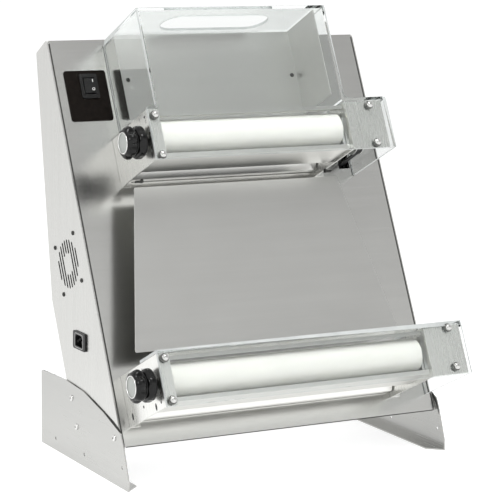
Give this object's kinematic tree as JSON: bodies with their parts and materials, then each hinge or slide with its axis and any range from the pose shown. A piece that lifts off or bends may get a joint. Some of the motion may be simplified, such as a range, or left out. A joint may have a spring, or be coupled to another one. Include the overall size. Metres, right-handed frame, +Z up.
{
  "type": "dough sheeter",
  "caption": "Countertop dough sheeter: leaning stainless casing on side feet, two parallel roller pairs behind clear guards, thickness knobs and a sloping chute between them.",
  "frame": {"origin": "bottom centre of the bounding box, on the table", "axes": "+Z up, +Y to the back of the machine, +X to the right seen from the front; the roller axes lie along X"},
  "size_m": [0.5412, 0.415, 0.659],
  "materials": {
    "stainless": "brushed, half bright",
    "plain_steel": "mill finish",
    "label": "satin printed film",
    "black_plastic": "moulded, fine grain",
    "knob_black": "gloss moulded",
    "grey_plastic": "satin",
    "cast_alloy": "cast, grey",
    "belt_rubber": "matt",
    "clear_acrylic": "clear, polished edges",
    "roller_white": "fine turned, food grade white",
    "machined_steel": "turned and cut",
    "bright_steel": "polished"
  },
  "bodies": {
    "casing": {"side_panel_left": "stainless", "side_panel_right": "stainless", "front_panel": "stainless", "back_panel": "stainless", "bottom_plate": "plain_steel", "foot_left": "stainless", "foot_right": "stainless", "control_label": "label", "switch_frame": "black_plastic", "power_inlet": "black_plastic", "fan_frame": "black_plastic", "electrics_box": "grey_plastic", "motor": "cast_alloy", "gearbox": "cast_alloy", "lay_bracket": "plain_steel", "transfer_belt": "belt_rubber", "upper_belt": "belt_rubber", "lower_belt": "belt_rubber", "upper_bracket_left": "stainless", "upper_bracket_right": "stainless", "upper_tray": "stainless", "upper_top_bar": "stainless", "upper_scraper": "stainless", "upper_guard": "clear_acrylic", "upper_chute": "stainless", "upper_nut_1": "bright_steel", "upper_nut_2": "bright_steel", "upper_nut_3": "bright_steel", "upper_nut_4": "bright_steel", "lower_bracket_left": "stainless", "lower_bracket_right": "stainless", "lower_tray": "stainless", "lower_top_bar": "stainless", "lower_scraper": "stainless", "lower_guard": "clear_acrylic", "lower_chute": "stainless", "lower_nut_1": "bright_steel", "lower_nut_2": "bright_steel", "lower_nut_3": "bright_steel", "lower_nut_4": "bright_steel"},
    "switch": {"switch_rocker": "black_plastic"},
    "fan": {"fan_rotor": "black_plastic"},
    "drive": {"drive_shaft": "machined_steel"},
    "lay": {"lay_shaft": "machined_steel"},
    "upper_rear": {"upper_rear_roller": "roller_white", "upper_rear_shaft": "machined_steel"},
    "upper_gap": {"upper_gap_frame": "plain_steel"},
    "upper_front": {"upper_front_roller": "roller_white", "upper_front_shaft": "machined_steel"},
    "upper_dial": {"upper_knob": "knob_black", "upper_knob_cap": "grey_plastic"},
    "lower_rear": {"lower_rear_roller": "roller_white", "lower_rear_shaft": "machined_steel"},
    "lower_gap": {"lower_gap_frame": "plain_steel"},
    "lower_front": {"lower_front_roller": "roller_white", "lower_front_shaft": "machined_steel"},
    "lower_dial": {"lower_knob": "knob_black", "lower_knob_cap": "grey_plastic"}
  },
  "joints": [
    {"name": "switch_rock", "type": "hinge", "parent": "casing", "child": "switch", "pos_m": [-0.19875, 0.13691, 0.53977], "axis": [1, 0, 0], "range_deg": [-12, 0]},
    {"name": "fan_spin", "type": "hinge", "parent": "casing", "child": "fan", "pos_m": [-0.23875, 0.09041, 0.28783], "axis": [1, 0, 0], "continuous": true},
    {"name": "drive_spin", "type": "hinge", "parent": "casing", "child": "drive", "pos_m": [0.18825, 0.00042, 0.11586], "axis": [1, 0, 0], "continuous": true},
    {"name": "lay_spin", "type": "hinge", "parent": "casing", "child": "lay", "pos_m": [0.20825, 0.12915, 0.40907], "axis": [1, 0, 0], "continuous": true},
    {"name": "upper_rear_spin", "type": "hinge", "parent": "casing", "child": "upper_rear", "pos_m": [-0.01625, 0.0472, 0.45322], "axis": [1, 0, 0], "continuous": true},
    {"name": "upper_gap_slide", "type": "slide", "parent": "casing", "child": "upper_gap", "axis": [0, -0.8999, 0.436], "range_m": [-0.0015, 0.002]},
    {"name": "upper_front_spin", "type": "hinge", "parent": "upper_gap", "child": "upper_front", "pos_m": [-0.01625, 0.0004, 0.4759], "axis": [1, 0, 0], "continuous": true},
    {"name": "upper_dial_turn", "type": "hinge", "parent": "casing", "child": "upper_dial", "pos_m": [-0.19375, -0.01114, 0.47271], "axis": [1, 0, 0], "range_deg": [-90, 120]},
    {"name": "lower_rear_spin", "type": "hinge", "parent": "casing", "child": "lower_rear", "pos_m": [-0.02025, -0.10606, 0.13689], "axis": [1, 0, 0], "continuous": true},
    {"name": "lower_gap_slide", "type": "slide", "parent": "casing", "child": "lower_gap", "axis": [0, -0.8999, 0.436], "range_m": [-0.0015, 0.002]},
    {"name": "lower_front_spin", "type": "hinge", "parent": "lower_gap", "child": "lower_front", "pos_m": [-0.02025, -0.15286, 0.15957], "axis": [1, 0, 0], "continuous": true},
    {"name": "lower_dial_turn", "type": "hinge", "parent": "casing", "child": "lower_dial", "pos_m": [-0.25075, -0.16287, 0.15953], "axis": [1, 0, 0], "range_deg": [-90, 120]}
  ],
  "couplings": [
    {"joint": "lay_spin", "follows": "drive_spin", "ratio": 1},
    {"joint": "upper_rear_spin", "follows": "drive_spin", "ratio": 1},
    {"joint": "upper_front_spin", "follows": "drive_spin", "ratio": -1},
    {"joint": "upper_dial_turn", "follows": "upper_gap_slide", "rad_per_m": 1047},
    {"joint": "lower_rear_spin", "follows": "drive_spin", "ratio": 1},
    {"joint": "lower_front_spin", "follows": "drive_spin", "ratio": -1},
    {"joint": "lower_dial_turn", "follows": "lower_gap_slide", "rad_per_m": 1047}
  ]
}
